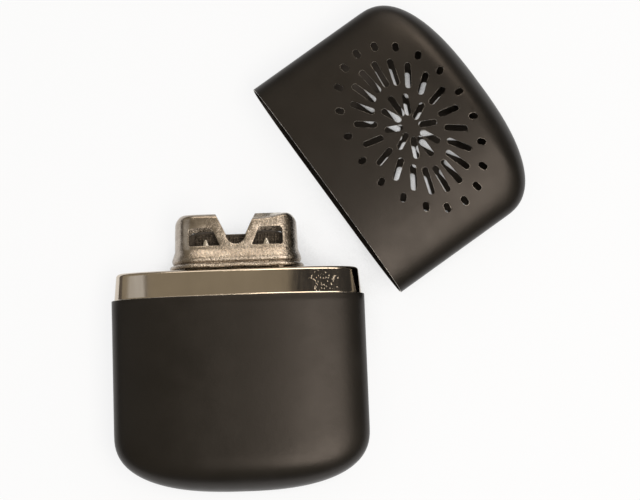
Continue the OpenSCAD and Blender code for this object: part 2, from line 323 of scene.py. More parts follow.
def press_land(cup, level=0.0):
    """Presses the back flat: cuts the skin along the level and lays all below it onto it."""
    with editing(cup):
        bpy.ops.mesh.select_all(action="SELECT")
        bpy.ops.mesh.bisect(plane_co=(0, 0, level), plane_no=(0, 0, 1))
        pick(cup, "VERT", lambda point: point.co.z < level - SAME)
        bpy.ops.transform.resize(value=(1, 1, 0), center_override=(0, 0, level))
    return cup


# %% [markdown]
# ## Finishes
# Each finish is a small set of shader nodes on Object coordinates. The object is modelled in
# metres, so a noise scale of 1000 has features of about a millimetre. A ramp turns such a noise
# into colours, or into a plain number for another socket. A bump bends only the shading, so it is
# kept for grain that is too fine to model.

# %% Building blocks for the finishes
def new_finish(name, rough, metallic=0.0, specular=0.5):
    """A material with its nodes, its Principled shader and the object's coordinates."""
    finish = bpy.data.materials.new(name)
    finish.use_nodes = True
    nodes = finish.node_tree.nodes
    shader = nodes["Principled BSDF"]
    shader.inputs["Roughness"].default_value = rough
    shader.inputs["Metallic"].default_value = metallic
    shader.inputs["Specular IOR Level"].default_value = specular
    places = nodes.new("ShaderNodeTexCoord").outputs["Object"]
    return finish, shader, places


def link(finish, value, socket):
    """Links a value to a socket."""
    finish.node_tree.links.new(value, socket)


def wire_up(finish, kind, inputs, **settings):
    """Adds a node, sets it up and links or fills its inputs. Returns the node."""
    node = finish.node_tree.nodes.new(kind)
    for key, value in settings.items():
        setattr(node, key, value)
    for key, value in inputs.items():
        if isinstance(value, bpy.types.NodeSocket):
            link(finish, value, node.inputs[key])
        else:
            node.inputs[key].default_value = value
    return node


def noise(finish, places, scale, detail=2.0, rough=0.5, stretch=None):
    """A noise value of this scale, stretched along the axes if asked."""
    if stretch:
        mapped = wire_up(finish, "ShaderNodeMapping", {"Vector": places, "Scale": stretch})
        places = mapped.outputs["Vector"]
    made = wire_up(
        finish,
        "ShaderNodeTexNoise",
        {"Vector": places, "Scale": scale, "Detail": detail, "Roughness": rough},
    )
    return made.outputs["Fac"]


def ramp(finish, value, stops):
    """Turns a value into a colour, or into a grey that drives another socket."""
    made = wire_up(finish, "ShaderNodeValToRGB", {"Fac": value})
    elements = made.color_ramp.elements
    while len(elements) < len(stops):
        elements.new(0.5)
    for element, (place, colour) in zip(elements, stops):
        element.position = place
        grey = not isinstance(colour, tuple)
        element.color = (colour,) * 3 + (1,) if grey else (*colour, 1)
    return made.outputs["Color"]


def bump(finish, shader, height, strength, depth, under=None):
    """Bends the shading by a height value whose full swing is depth metres."""
    inputs = {"Height": height, "Strength": strength, "Distance": depth}
    if under:
        inputs["Normal"] = under
    bent = wire_up(finish, "ShaderNodeBump", inputs).outputs["Normal"]
    link(finish, bent, shader.inputs["Normal"])
    return bent


def combine(finish, operation, first, second):
    """Works out a value from two others, such as their product."""
    inputs = {0: first, 1: second}
    return wire_up(finish, "ShaderNodeMath", inputs, operation=operation).outputs["Value"]


def share_by_distance(finish, places, spot, start, end, least=0.0):
    """Goes from least, at the distance start from a spot, to 1 at the distance end from it."""
    inputs = {0: places, 1: spot}
    away = wire_up(finish, "ShaderNodeVectorMath", inputs, operation="DISTANCE").outputs["Value"]
    inputs = {"Value": away, "From Min": start, "From Max": end, "To Min": least}
    return wire_up(finish, "ShaderNodeMapRange", inputs).outputs["Result"]


# %% [markdown]
# A coat is rubbed through first where the sheet turns sharply. The Bevel node finds such places:
# its normal is the one that a rounded edge would have, and close to an edge that differs from the
# face's own. The closer the two agree, the larger their dot product is.

# %% Where an edge is near
BEVEL_SAMPLES = 6


def near_edges(finish, places, width):
    """1 close to sharp edges and 0 elsewhere, broken up by a noise."""
    inputs = {"Radius": width}
    rounded = wire_up(finish, "ShaderNodeBevel", inputs, samples=BEVEL_SAMPLES).outputs["Normal"]
    flat = wire_up(finish, "ShaderNodeNewGeometry", {}).outputs["Normal"]
    inputs = {0: rounded, 1: flat}
    same = wire_up(finish, "ShaderNodeVectorMath", inputs, operation="DOT_PRODUCT").outputs["Value"]
    edge = ramp(finish, same, [(0.84, 1.0), (0.97, 0.0)])
    patches = noise(finish, places, scale=260, detail=3, rough=0.6)
    broken = ramp(finish, patches, [(0.42, 0.0), (0.56, 1.0)])
    return combine(finish, "MULTIPLY", edge, broken)


# %% [markdown]
# The black coat is a thin satin lacquer. It has a slight orange peel from spraying and a fine
# dust, it is a little warm in its darks, and handling has left patches that are more and less
# matt. Along the sharpest edges it is rubbed through to bare metal, so colour and Metallic follow
# the edge value there.

# %% Black satin coat
RUBBED_COLOUR = (0.42, 0.39, 0.35, 1)
RUBBED_WIDTH = 0.16 * MM
WARM_GLOSS = (1, 0.9, 0.83, 1)


def satin_coat(name, dark, light, specular):
    """Satin lacquer whose colour drifts from dark to light, rubbed through at its edges."""
    finish, shader, places = new_finish(name, 0.38, specular=specular)
    shader.inputs["Specular Tint"].default_value = WARM_GLOSS
    cloud = noise(finish, places, scale=60, detail=3, rough=0.55)
    coat = ramp(finish, cloud, [(0.3, dark), (0.7, light)])
    worn = near_edges(finish, places, RUBBED_WIDTH)
    mix = wire_up(finish, "ShaderNodeMix", {0: worn}, data_type="RGBA")
    under, over = [socket for socket in mix.inputs if socket.type == "RGBA"]
    link(finish, coat, under)
    over.default_value = RUBBED_COLOUR
    mixed = next(socket for socket in mix.outputs if socket.type == "RGBA")
    link(finish, mixed, shader.inputs["Base Color"])
    link(finish, worn, shader.inputs["Metallic"])
    smudge = noise(finish, places, scale=140, detail=4, rough=0.6)
    link(finish, ramp(finish, smudge, [(0.3, 0.33), (0.7, 0.41)]), shader.inputs["Roughness"])
    peel = bump(finish, shader, noise(finish, places, scale=700), strength=0.4, depth=0.04 * MM)
    dust = noise(finish, places, scale=2600)
    bump(finish, shader, dust, strength=0.4, depth=0.02 * MM, under=peel)
    return finish


tank_coat = satin_coat("tank_coat", (0.0036, 0.0037, 0.0031), (0.0068, 0.0063, 0.0052), 0.5)
cap_coat = satin_coat("cap_coat", (0.0036, 0.0036, 0.0030), (0.0072, 0.0064, 0.0052), 0.44)
print("coats:", tank_coat.name, cap_coat.name)

# %% [markdown]
# The collar is plated and fairly bright, with faint lines along its height from the drawing. Near
# its right end small drops of old fuel have dried on it: cells of a Voronoi texture, half of them
# left out, that fade away from one spot.

# %% Plated collar
DROPS_AT = (23 * MM, 29 * MM, 14 * MM)
DROPS_FULL_R = 2.6 * MM
DROPS_END_R = 4.6 * MM
LINE_STRETCH = (2.5, 0.12, 2.5)


def plated_metal():
    """Bright nickel with faint draw lines, and fine drops of old fuel at one spot."""
    finish, shader, places = new_finish("plated_metal", 0.16, metallic=1)
    tone = noise(finish, places, scale=90, detail=3)
    colours = [(0.3, (0.57, 0.50, 0.42)), (0.7, (0.65, 0.575, 0.485))]
    link(finish, ramp(finish, tone, colours), shader.inputs["Base Color"])
    lines = noise(finish, places, scale=500, detail=3, rough=0.6, stretch=LINE_STRETCH)
    link(finish, ramp(finish, lines, [(0.3, 0.09), (0.75, 0.15)]), shader.inputs["Roughness"])
    drawn = bump(finish, shader, lines, strength=0.05, depth=0.01 * MM)
    near = share_by_distance(finish, places, DROPS_AT, DROPS_END_R, DROPS_FULL_R)
    face_on = wire_up(finish, "ShaderNodeMapping", {"Vector": places, "Scale": (1, 1, 0)})
    inputs = {"Vector": face_on.outputs["Vector"], "Scale": 2100}
    cells = wire_up(finish, "ShaderNodeTexVoronoi", inputs).outputs
    drops = ramp(finish, cells["Distance"], [(0.0, 1.0), (0.3, 0.0)])
    half = ramp(finish, cells["Color"], [(0.48, 0.0), (0.52, 1.0)])
    few = combine(finish, "MULTIPLY", half, drops)
    height = combine(finish, "MULTIPLY", near, few)
    bump(finish, shader, height, strength=0.9, depth=0.07 * MM, under=drawn)
    return finish


plated = plated_metal()
print("plating:", plated.name)

# %% [markdown]
# The burner was stamped hard and is heated often: it is rough, warm and broken up, so that it
# glints in many small points. Only the front above the left window has stayed smoother. Its
# corners are sharp in the mesh, and a Bevel normal under the bumps softens how they shade.

# %% Stamped burner steel
SMOOTH_AT = (-14 * MM, 46 * MM, 14 * MM)
SMOOTH_R = 6 * MM
ROUGH_R = 13 * MM
SMOOTH_GRAIN = 0.12


def stamped_steel(name, dark, light, grain=1.0, corner=0.25 * MM):
    """Warm grey steel with the broken surface of a hard stamping."""
    finish, shader, places = new_finish(name, 0.25, metallic=1)
    tone = noise(finish, places, scale=260, detail=4, rough=0.6)
    link(finish, ramp(finish, tone, [(0.3, dark), (0.72, light)]), shader.inputs["Base Color"])
    worn = noise(finish, places, scale=900, detail=4, rough=0.65)
    link(finish, ramp(finish, worn, [(0.3, 0.16), (0.7, 0.32)]), shader.inputs["Roughness"])
    inputs = {"Radius": corner}
    soft = wire_up(finish, "ShaderNodeBevel", inputs, samples=BEVEL_SAMPLES).outputs["Normal"]
    dents = noise(finish, places, scale=300)
    dented = bump(finish, shader, dents, strength=0.2 * grain, depth=0.15 * MM, under=soft)
    rough_share = share_by_distance(finish, places, SMOOTH_AT, SMOOTH_R, ROUGH_R, SMOOTH_GRAIN)
    pits = noise(finish, places, scale=1700, detail=4, rough=0.65)
    height = combine(finish, "MULTIPLY", pits, rough_share)
    bump(finish, shader, height, strength=0.9 * grain, depth=0.16 * MM, under=dented)
    return finish


burner_steel = stamped_steel("stamped_steel", (0.31, 0.265, 0.22), (0.55, 0.49, 0.425))
bare_edge = stamped_steel("bare_edge", (0.42, 0.39, 0.35), (0.68, 0.64, 0.58), grain=0.5)
# A lighter, smoother steel for the bent lip and the tongues: its lighter colour is a painted
# highlight.
painted_highlight_steel = stamped_steel(
    "painted_highlight_steel", (0.66, 0.61, 0.54), (0.84, 0.79, 0.71), grain=0.15, corner=0.05 * MM
)
net_steel = stamped_steel("wire_steel", (0.06, 0.048, 0.038), (0.17, 0.14, 0.11))
print("steels:", burner_steel.name, bare_edge.name, painted_highlight_steel.name, net_steel.name)

# %% [markdown]
# The soft fillings are cotton wool, felt and the glass wool that carries the catalyst. Their
# finish is matt, with a fine matted grain in colour and height, and a little sheen from loose
# fibres.

# %% Wool, felt and cotton
LONG_FIBRE = (0.35, 1.6, 1)
SHORT_FIBRE = (1.7, 0.4, 1)


def matted(name, dark, light, scale, sheen):
    """Matt fibre finish with long and short fibres crossing."""
    finish, shader, places = new_finish(name, 0.95, specular=0.2)
    shader.inputs["Sheen Weight"].default_value = sheen
    shader.inputs["Sheen Roughness"].default_value = 0.6
    long_way = noise(finish, places, scale, detail=4, rough=0.7, stretch=LONG_FIBRE)
    short_way = noise(finish, places, 1.7 * scale, detail=4, rough=0.7, stretch=SHORT_FIBRE)
    fibres = combine(finish, "MULTIPLY", long_way, short_way)
    link(finish, ramp(finish, fibres, [(0.12, dark), (0.42, light)]), shader.inputs["Base Color"])
    bump(finish, shader, fibres, strength=0.9, depth=0.25 * MM)
    return finish


catalyst_wool = matted("glass_wool", (0.035, 0.027, 0.02), (0.13, 0.105, 0.08), 1500, 0.15)
felt_fibre = matted("pressed_felt", (0.30, 0.27, 0.22), (0.62, 0.58, 0.50), 1200, 0.4)
cotton_fibre = matted("loose_cotton", (0.55, 0.53, 0.47), (0.86, 0.84, 0.78), 500, 0.5)
print("fibres:", catalyst_wool.name, felt_fibre.name, cotton_fibre.name)

# %% [markdown]
# ## Tank shell
# The tank is a cup that is drawn from the mouth down to a rounded foot. Its sides draw in by a
# quarter of a millimetre towards the seam. The skin is made once and Solidify gives it the
# sheet's thickness on the inside, which keeps the outside where the frame has it. A small bevel
# rounds the cut edge at the mouth.

# %% Tank shell
TANK_EDGE = 0.12 * MM
RIM_BAND = 0.1 * MM
tank_rings = cup_rings(SEAM_Y, -1, HALF_W, TANK_DRAW, SEAM_Y - FOOT_Y, TANK_END_H, TANK_SIDE_H)
tank_shell = drawn_cup("tank_shell_sheet", tank_rings)
press_land(tank_shell)
close_up(tank_shell)
give_wall(tank_shell, TANK_WALL)
round_edges(tank_shell, TANK_EDGE)
smooth(tank_shell)
dress(tank_shell, "tank", tank_coat, "tank_shell")
touch_up(tank_shell, bare_edge, lambda face: face.calc_center_median().y > SEAM_Y - RIM_BAND)

# %% [markdown]
# ## Collar
# The collar is a drawn sleeve. Its skirt is pushed into the tank, it steps out over the tank's
# rim, draws in towards its rounded top edge and closes in a flat deck. It is one more stack of
# oval rings. The second ring above the seam lies close to the first, so that the bend at the foot
# stays a thin line of light. The deck is bridged from the last ring to an oblong ring, the hole
# for the neck.

# %% Rings of the collar
CAP_WALL = 0.35 * MM
COLLAR_PLAY = 0.4 * MM
COLLAR_DRAW = 0.6 * MM
COLLAR_EDGE_R = 1.0 * MM
COLLAR_WALL = 0.4 * MM
SKIRT_PLAY = 0.05 * MM
SEAM_STEP = 0.15 * MM
RISE_SHARES = (0.02, 0.2, 0.4, 0.6, 0.8, 1)
EDGE_STEPS = 8


def inset_ring(y, inset):
    """Ring that lies inset from the outside of the tank's mouth."""
    return (y, MOUTH_W - inset, CROWN_T - inset)


skirt_inset = TANK_WALL + SKIRT_PLAY
seam_inset = CAP_WALL + COLLAR_PLAY
edge_inset = seam_inset + COLLAR_DRAW
edge_y = DECK_Y - COLLAR_EDGE_R
collar_insets = [
    (collar_low.y, skirt_inset),
    (SEAM_Y - SEAM_STEP, skirt_inset),
    (SEAM_Y + SEAM_STEP, seam_inset),
]
rise = edge_y - SEAM_Y - SEAM_STEP
collar_insets += [
    (SEAM_Y + SEAM_STEP + rise * share, seam_inset + COLLAR_DRAW * share)
    for share in RISE_SHARES
]
collar_insets += [
    (edge_y + COLLAR_EDGE_R * sin(a), edge_inset + COLLAR_EDGE_R * (1 - cos(a)))
    for a in [radians(90 * k / EDGE_STEPS) for k in range(1, EDGE_STEPS + 1)]
]
print(f"collar: {len(collar_insets)} rings up to y = {1000 * DECK_Y:.1f} mm")


# %% An oblong ring
def oblong_ring(name, y, width, depth, points=OVAL_POINTS):
    """A ring of edges on an oblong with round ends: a circle whose halves are moved apart."""
    bpy.ops.mesh.primitive_circle_add(
        vertices=points, radius=depth / 2, location=(0, y, AXIS_Z), rotation=(pi / 2, 0, 0)
    )
    ring = bpy.context.object
    ring.name = ring.data.name = name
    settle(ring)
    with editing(ring):
        for side in (-1, 1):
            pick(ring, "VERT", lambda point: point.co.x * side > SAME)
            bpy.ops.transform.translate(value=(side * (width - depth) / 2, 0, 0))
    return ring


# %% Collar
NECK_GAP = 0.1 * MM
NECK_BEAD = 0.6 * MM
tube_w = neck_high.x - neck_low.x - 2 * NECK_BEAD
tube_d = neck_high.z - neck_low.z - 2 * NECK_BEAD
hole = oblong_ring("collar_hole", DECK_Y, tube_w + 2 * NECK_GAP, tube_d + 2 * NECK_GAP)
collar = oval_ring("collar_sleeve", *inset_ring(*collar_insets[0]))
with editing(collar):
    bpy.ops.mesh.select_all(action="SELECT")
    draw_out([inset_ring(y, inset) for y, inset in collar_insets])
hole.select_set(True)
bpy.ops.object.join()
with editing(collar):
    pick(collar, "EDGE", lambda edge: all(abs(p.co.y - DECK_Y) < SAME for p in edge.verts))
    bpy.ops.mesh.bridge_edge_loops()
for y, inset in collar_insets:
    for point in collar.data.vertices:
        if abs(point.co.y - y) < SAME and point.co.z < inset:
            point.co.z = inset
close_up(collar)
give_wall(collar, COLLAR_WALL)
smooth(collar, 40)
dress(collar, "tank", plated, "collar")

# %% [markdown]
# ## Turning a profile round an oblong
# The neck and the burner are oblong with round ends, and their section is the same all the way
# round. By hand this is a line of points, spun half a turn about one end, pulled along the
# straight side, spun about the other end and pulled back to where it began.

# %% Profile sweep
END_STEPS = 18
RUN_STEPS = 14


def profile_line(name, outline, x, front_z):
    """A closed line of points in the plane at x. A point of the outline is (out, y)."""
    bpy.ops.mesh.primitive_plane_add(size=1 * MM)
    line = bpy.context.object
    line.name = line.data.name = name
    with editing(line):
        bpy.ops.mesh.select_all(action="SELECT")
        bpy.ops.mesh.merge(type="CENTER")
        bpy.ops.mesh.select_all(action="SELECT")
        bpy.ops.transform.translate(value=(x, outline[0][1], front_z + outline[0][0]))
        for (out, y), (next_out, next_y) in pairwise(outline):
            bpy.ops.mesh.extrude_vertices_move(
                TRANSFORM_OT_translate={"value": (0, next_y - y, next_out - out)}
            )
        bpy.ops.mesh.select_all(action="SELECT")
        bpy.ops.mesh.edge_face_add()
        bpy.ops.mesh.delete(type="ONLY_FACE")
    return line


def sweep_oblong(name, outline, width, depth):
    """A closed ring of this section round an oblong of this width and depth."""
    run = width - depth
    piece = profile_line(name, outline, run / 2, AXIS_Z + depth / 2)
    with editing(piece):
        bpy.ops.mesh.select_all(action="SELECT")
        for side in (1, -1):
            bpy.ops.mesh.spin(
                steps=END_STEPS, angle=-pi, center=(side * run / 2, 0, AXIS_Z), axis=(0, 1, 0)
            )
            for _ in range(RUN_STEPS):
                bpy.ops.mesh.extrude_edges_move(
                    TRANSFORM_OT_translate={"value": (-side * run / RUN_STEPS, 0, 0)}
                )
    return close_up(piece)


def arc(centre_out, centre_y, radius, start, stop, steps):
    """Points of a rounding, from one angle to another in degrees, where 0 points outwards."""
    angles = [radians(start + (stop - start) * k / steps) for k in range(steps + 1)]
    return [(centre_out + radius * cos(a), centre_y + radius * sin(a)) for a in angles]


# %% [markdown]
# ## Filler neck
# The neck is a short oblong tube through the deck. A bead at its root keeps it in place, and its
# mouth is rounded, because the burner is pushed over it. Only its foot shows under the burner
# until the burner is pulled off.

# %% Filler neck
NECK_WALL = 0.4 * MM
NECK_BEAD_H = 0.35 * MM
BEAD_R = 0.46 * NECK_BEAD_H
OFF_DECK = 0.01 * MM
bead_out = NECK_BEAD - NECK_BEAD_H / 2
bead_mid_y = DECK_Y + NECK_BEAD_H / 2 + OFF_DECK
lip_r = NECK_WALL / 2
neck_outline = (
    [(-NECK_WALL, neck_low.y), (0, neck_low.y), (0, DECK_Y + 2 * OFF_DECK)]
    + arc(bead_out, bead_mid_y, BEAD_R, -90, 90, 6)
    + [(0, DECK_Y + NECK_BEAD_H)]
    + arc(-lip_r, neck_high.y - lip_r, lip_r, 0, 180, 6)
)
filler_neck = sweep_oblong("filler_neck_tube", neck_outline, tube_w, tube_d)
smooth(filler_neck, 40)
dress(filler_neck, "tank", plated, "filler_neck")

# %% [markdown]
# ## Burner housing
# The housing is one stamping. At its foot a rolled flange stands out. Above a narrow groove the
# wall swells into a bead with a long soft shoulder, and the posts' tops fold inwards. The section
# is swept round the oblong first. Then the posts' outer corners are drawn down, as the press does
# it, and the flanks lean in a little. The right post is bent: its front is pressed lower, and its
# lip stands up again from a fold. The flange gets its slight waves. The notch and the windows are
# cut last, with Boolean.

# %% Section of the housing
FLANGE_OUT = 1.3 * MM
FLANGE_T = 1.1 * MM
GROOVE_H = 0.3 * MM
BEAD_OUT = 0.7 * MM
FOOT_WALL = 1.5 * MM
STEEL_WALL = 0.5 * MM
FOOT_OUT = 0.15 * MM
PEAK_RISE = 1.1 * MM
SHOULDER_RISE = 5.5 * MM
SHOULDER = [(0.07, 0.98), (0.16, 0.91), (0.33, 0.72), (0.5, 0.5)]
SHOULDER += [(0.67, 0.28), (0.84, 0.09), (0.93, 0.02), (1, 0)]
quarter = [radians(90 * k / 7) for k in range(8)]
LIP_IN = 1.9 * MM
TOP_R = 1.3 * MM
SEAT_GAP = 0.05 * MM
burner_w = 2 * (burner_high.x - FLANGE_OUT)
burner_d = burner_high.z - burner_low.z - 2 * FLANGE_OUT
foot_y = burner_low.y
top_y = burner_high.y
bead_y = foot_y + FLANGE_T + GROOVE_H
peak_y = bead_y + PEAK_RISE
shoulder_y = DECK_Y + SHOULDER_RISE
floor_y = plate_low.y - SEAT_GAP
housing_outline = (
    [(-FOOT_WALL, floor_y), (-FOOT_WALL, foot_y)]
    + arc(FLANGE_OUT - FLANGE_T / 2, foot_y + FLANGE_T / 2, FLANGE_T / 2, -90, 90, 8)
    + [(FOOT_OUT, foot_y + FLANGE_T), (0, bead_y - GROOVE_H / 2)]
    + [(BEAD_OUT * sin(a), peak_y - (peak_y - bead_y) * cos(a)) for a in quarter]
    + [(BEAD_OUT * out, peak_y + (shoulder_y - peak_y) * t) for t, out in SHOULDER]
    + [(0, shoulder_y + (top_y - TOP_R - shoulder_y) * k / 5) for k in range(1, 5)]
    + arc(-TOP_R, top_y - TOP_R, TOP_R, 0, 90, 7)
    + [(-LIP_IN, top_y), (-LIP_IN, top_y - STEEL_WALL)]
    + arc(-TOP_R, top_y - TOP_R, TOP_R - STEEL_WALL, 90, 0, 5)
    + [(-STEEL_WALL, floor_y)]
)
print(f"housing: {len(housing_outline)} points in its section, {1000 * burner_w:.1f} mm wide")

# %% Swept housing, with the posts' corners drawn down
POST_R = 3 * MM
PRESS_H = 5 * MM
FLANK_LEAN = 0.025
burner = sweep_oblong("burner_housing_stamping", housing_outline, burner_w, burner_d)
press_from = top_y - PRESS_H
corner_x = burner_w / 2 - POST_R
for point in burner.data.vertices:
    point.co.x *= 1 - FLANK_LEAN * max(0, point.co.y - bead_y) / (top_y - bead_y)
    past = abs(point.co.x) - corner_x
    if past > 0 and point.co.y > press_from:
        fall = POST_R - (POST_R**2 - min(past, POST_R) ** 2) ** 0.5
        share = (point.co.y - press_from) / (top_y - press_from)
        point.co.y -= share * fall
print(f"posts drawn down from x = {1000 * corner_x:.1f} mm")

# %% Right post pressed lower, with its lip bent up, and the flange waved
LIP_RISE = 1.2 * MM
LIP_FOLD = 0.69
NOTCH_EDGE = 5.4 * MM
FLANGE_WAVE = 0.13 * MM
LONG_WAVE = 1.8 * MM
SHORT_WAVE = 0.7 * MM
front_z = AXIS_Z + burner_d / 2
for point in burner.data.vertices:
    x, y, z = point.co
    inwards = max(0, (front_z - z) / LIP_IN)
    share = (y - press_from) / (top_y - press_from)
    if x > 0 and share > 0 and inwards < 1.01:
        fade = min(1, max(0, (corner_x - x) / (corner_x - NOTCH_EDGE)))
        bent = min(1, max(0, (inwards - LIP_FOLD) / (1 - LIP_FOLD)))
        point.co.y -= LIP_RISE * min(1, share) * fade * (2 - fade) * (1 - bent)
    if y < foot_y + FLANGE_T + 0.01 * MM and abs(z - AXIS_Z) > burner_d / 2:
        waves = sin(x / LONG_WAVE + 1) + 0.5 * sin(x / SHORT_WAVE)
        point.co.y += FLANGE_WAVE * waves / 1.5
highest = max(point.co.y for point in burner.data.vertices)
print(f"lip bent up, highest point {1000 * (highest - top_y):+.2f} mm from the frame's box")

# %% Cutters for the notch and the windows
NOTCH_W = 10.8 * MM
NOTCH_FOOT_W = 5.2 * MM
NOTCH_Y = 6.6 * MM
WINDOW_IN = 4.2 * MM
WINDOW_W = 8.1 * MM
WINDOW_H = 4.7 * MM
WINDOW_Y = 6.2 * MM
WINDOW_SLANT = 2 * MM
WINDOW_CORNER = 1.0 * MM
SMALL_CORNER = 0.35 * MM
FLARE = 0.35 * MM


def through_cutter(cutter):
    """Pulls a flat cutter through the whole burner, from behind it to in front of it."""
    with editing(cutter):
        bpy.ops.mesh.select_all(action="SELECT")
        bpy.ops.transform.translate(value=(0, 0, -BODY_T))
        bpy.ops.mesh.extrude_region_move(TRANSFORM_OT_translate={"value": (0, 0, 3 * BODY_T)})
    return close_up(cutter)


def notch_cutter():
    """Notch between the posts: a circle at its foot, whose upper half is pulled up and widened."""
    foot_r = NOTCH_FOOT_W / 2
    centre_y = DECK_Y + NOTCH_Y + foot_r
    rise = top_y + 1 * MM - centre_y
    flare = (NOTCH_W / 2 + FLARE) / foot_r
    bpy.ops.mesh.primitive_circle_add(
        vertices=48, radius=foot_r, location=(0, centre_y, 0), fill_type="NGON"
    )
    cutter = settle(bpy.context.object)
    with editing(cutter):
        pick(cutter, "VERT", lambda point: point.co.y > centre_y + SAME)
        bpy.ops.transform.resize(value=(1, 0, 1), center_override=(0, centre_y, 0))
        bpy.ops.transform.resize(value=(flare, 1, 1), center_override=(0, centre_y, 0))
        bpy.ops.transform.translate(value=(0, rise, 0))
    return through_cutter(cutter)


def window_cutter(side):
    """One window: a plane with its near head corner slanted and its corners rounded."""
    sill = DECK_Y + WINDOW_Y
    middle = WINDOW_IN + WINDOW_W / 2
    half_y = sill + WINDOW_H / 2
    bpy.ops.mesh.primitive_plane_add(size=1, location=(side * middle, half_y, 0))
    cutter = bpy.context.object
    cutter.scale = (WINDOW_W, WINDOW_H, 1)
    settle(cutter)
    with editing(cutter):
        pick(cutter, "VERT", lambda p: abs(p.co.x) < middle and p.co.y > half_y)
        bpy.ops.transform.translate(value=(side * WINDOW_SLANT, 0, 0))
        pick(cutter, "VERT", lambda p: abs(p.co.x) > middle + WINDOW_SLANT and p.co.y > half_y)
        bpy.ops.mesh.bevel(offset=WINDOW_CORNER, segments=4, affect="VERTICES")
        pick(cutter, "VERT", lambda p: p.co.y < sill + SAME or abs(p.co.x) < middle)
        bpy.ops.mesh.bevel(offset=SMALL_CORNER, segments=3, affect="VERTICES")
    return through_cutter(cutter)


def cut(piece, cutter):
    """Cuts the cutter out of piece and throws the cutter away."""
    apply_modifier(piece, "cut", "BOOLEAN", object=cutter, operation="DIFFERENCE", solver="EXACT")
    bpy.data.objects.remove(cutter)


# %% Cut and dress the housing
STEEL_EDGE = 0.1 * MM
cut(burner, notch_cutter())
for side in (-1, 1):
    cut(burner, window_cutter(side))
close_up(burner)
round_edges(burner, STEEL_EDGE)
smooth(burner, 40)
dress(burner, "burner", burner_steel, "burner_housing")

# %% [markdown]
# The faces past the fold of the right post's lip get a smoother steel with hardly any grain,
# and a lighter colour that is a painted highlight for the light the lip catches.

# %% Painted highlight on the bent lip
LIP_FROM_Z = front_z - (LIP_FOLD - 0.03) * LIP_IN
LIP_FROM_Y = top_y - 1.1 * LIP_RISE


def is_bent_lip(face):
    """True for the outside of the right post's lip, past its fold."""
    x, y, z = face.calc_center_median()
    past_fold = AXIS_Z < z < LIP_FROM_Z and y > LIP_FROM_Y
    return x > 0 and past_fold and face.normal.z > 0.2


touch_up(burner, painted_highlight_steel, is_bent_lip)

# %% [markdown]
# ## Vapour plate
# The plate is a flat blank with two rows of holes, and the CAD solid already has exactly that
# shape, so it stays and only gets the burner's steel.

# %% Vapour plate
plate = frame["nodes"]["vapour_plate"]
plate.data.materials.clear()
plate.data.materials.append(burner_steel)
print("vapour plate kept,", len(plate.data.polygons), "triangles")

# %% [markdown]
# ## Nets
# Each face of the catalyst lies behind a woven wire net. A wire is drawn as a thin tube that
# weaves over and under its neighbours. Two such wires for each direction, one of them a weave
# ahead of the other, are enough: the net is made of copies that take turns.

# %% One woven wire
WIRE_D = 0.2 * MM
WIRE_SIDES = 6
WIRE_PITCH = 0.9 * MM
net_x = net_high.x - net_low.x
net_y = net_high.y - net_low.y
net_depth = net_high.z - net_low.z
columns = int(net_x / WIRE_PITCH)
rows = int(net_y / WIRE_PITCH)


def woven_wire(name, crossings, along, phase):
    """A wire that runs along x or y from the net's corner and weaves at every crossing."""
    bpy.ops.mesh.primitive_circle_add(vertices=WIRE_SIDES, radius=WIRE_D / 2, fill_type="NGON")
    wire = bpy.context.object
    wire.name = wire.data.name = name
    wire.rotation_euler = (0, pi / 2, 0) if along == "x" else (-pi / 2, 0, 0)
    settle(wire)
    sway = (net_depth - WIRE_D) / 2
    step = WIRE_PITCH / 2
    heights = [sway * (0, 1, 0, -1)[(k + 2 * phase) % 4] for k in range(2 * crossings + 2)]
    with editing(wire):
        bpy.ops.mesh.select_all(action="SELECT")
        bpy.ops.transform.translate(value=(0, 0, heights[0]))
        for low, high in pairwise(heights):
            move = (step, 0, high - low) if along == "x" else (0, step, high - low)
            bpy.ops.mesh.extrude_region_move(TRANSFORM_OT_translate={"value": move})
    return close_up(wire, FINE_GAP)


# %% Two nets
def wire_net(name, box_low, node):
    """Wires across and wires up, joined to one net in the plane of the CAD's."""
    corner = Vector((-columns * WIRE_PITCH / 2, box_low.y + WIRE_D / 2, box_low.z + net_depth / 2))
    wires = []
    for along, count, crossings in (("x", rows + 1, columns), ("y", columns + 1, rows)):
        pair = [woven_wire(f"wire_{phase}", crossings, along, phase) for phase in (0, 1)]
        for k in range(count):
            phase = k % 2 if along == "x" else (k + 1) % 2
            wire = copy_of(pair[phase], f"{name}_{along}{k}")
            aside = k * WIRE_PITCH + WIRE_PITCH / 2
            place = Vector((0, aside, 0)) if along == "x" else Vector((aside, 0, 0))
            wire.data.transform(Matrix.Translation(corner + place))
            wires.append(wire)
        for drawn in pair:
            bpy.data.objects.remove(drawn)
    only(wires[0])
    for wire in wires:
        wire.select_set(True)
    bpy.ops.object.join()
    wires[0].name = wires[0].data.name = name
    smooth(wires[0], 60)
    return dress(wires[0], "burner", net_steel, node)


wire_net("front_wire_net", net_low, "front_net")
wire_net("rear_wire_net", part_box("rear_net")[0], "rear_net")

# %% [markdown]
# ## Tongues
# Small pointed tongues stand up beside the nets and hold them. One is made from a block that is
# narrowed to its tip, creased along its middle and bevelled, and then copied along both sides.
# They get the lip's lighter steel, whose lighter colour is a painted highlight.

# %% One tongue, and its copies
tongue_low, tongue_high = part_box("pad_tongues")
TONGUE_COUNT = 4
TONGUE_W = 2.6 * MM
TONGUE_TIP = 0.5 * MM
TONGUE_T = 0.32 * MM
TIP_THINNING = 0.7
TONGUE_CREASE = 0.12 * MM
TONGUE_EDGE = 0.04 * MM
TONGUE_IN = 0.2 * MM
tongue_h = tongue_high.y - tongue_low.y
tongue_span = tongue_high.x - tongue_low.x - TONGUE_W


